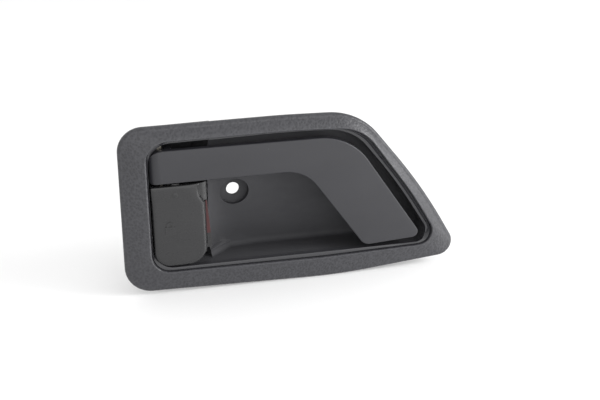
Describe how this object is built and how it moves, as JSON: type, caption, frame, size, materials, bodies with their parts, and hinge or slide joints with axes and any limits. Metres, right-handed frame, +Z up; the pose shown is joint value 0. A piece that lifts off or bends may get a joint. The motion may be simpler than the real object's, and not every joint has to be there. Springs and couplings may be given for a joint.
{
  "type": "interior car door handle",
  "caption": "Flush interior door handle: slanted bezel round a finger pocket, an L-shaped pull lever and a lock knob on one upright hinge pin, with rear cranks and rod clips.",
  "frame": {"origin": "on the axis of the fixing screw, in the plane where the back of the flange meets the door trim", "axes": "+X along the handle to the free end of the lever, +Y into the door, +Z up"},
  "size_m": [0.1522, 0.0418, 0.0785],
  "materials": {
    "grained_plastic": "fine leather-like grain, matte charcoal",
    "housing_plastic": "smooth semi-gloss black",
    "lever_plastic": "smooth satin charcoal",
    "knob_plastic": "smooth semi-gloss black",
    "natural_plastic": "natural acetal",
    "plated_steel": "yellow-passivated zinc plate",
    "spring_steel": "drawn spring steel",
    "rubber": "matte black rubber",
    "red_film": "satin red film"
  },
  "bodies": {
    "base": {"bezel": "grained_plastic", "housing": "housing_plastic", "hinge_pin": "plated_steel", "pin_push_nut": "spring_steel", "lever_return_spring": "spring_steel", "lock_detent_spring": "spring_steel", "lever_rest_bumper": "rubber", "lever_stop_sleeve": "rubber", "lock_stop_bumper": "rubber"},
    "lever": {"pull_lever": "lever_plastic", "lever_bush_upper": "housing_plastic", "lever_bush_lower": "housing_plastic", "lever_crank": "plated_steel", "crank_rivet_1": "plated_steel", "crank_rivet_2": "plated_steel"},
    "knob": {"lock_knob": "knob_plastic", "lock_bush_upper": "housing_plastic", "lock_bush_lower": "housing_plastic", "unlocked_marker": "red_film"},
    "latch_clip": {"latch_rod_clip": "natural_plastic"},
    "lock_clip": {"lock_rod_clip": "natural_plastic"}
  },
  "joints": [
    {"name": "lever_pull", "type": "hinge", "parent": "base", "child": "lever", "pos_m": [-0.0336, 0.0005, 0], "axis": [0, 0, -1], "range_deg": [0, 25], "stiffness_Nm_per_rad": 1.4, "springref_deg": -11.46},
    {"name": "knob_push", "type": "hinge", "parent": "base", "child": "knob", "pos_m": [-0.0336, 0.0005, 0], "axis": [0, 0, 1], "range_deg": [0, 18]},
    {"name": "latch_clip_swivel", "type": "hinge", "parent": "lever", "child": "latch_clip", "pos_m": [-0.0336, 0.032, 0], "axis": [0, 0, 1], "range_deg": [-60, 60]},
    {"name": "lock_clip_swivel", "type": "hinge", "parent": "knob", "child": "lock_clip", "pos_m": [-0.0209, 0.0285, 0], "axis": [0, 0, 1], "range_deg": [-60, 60]}
  ]
}
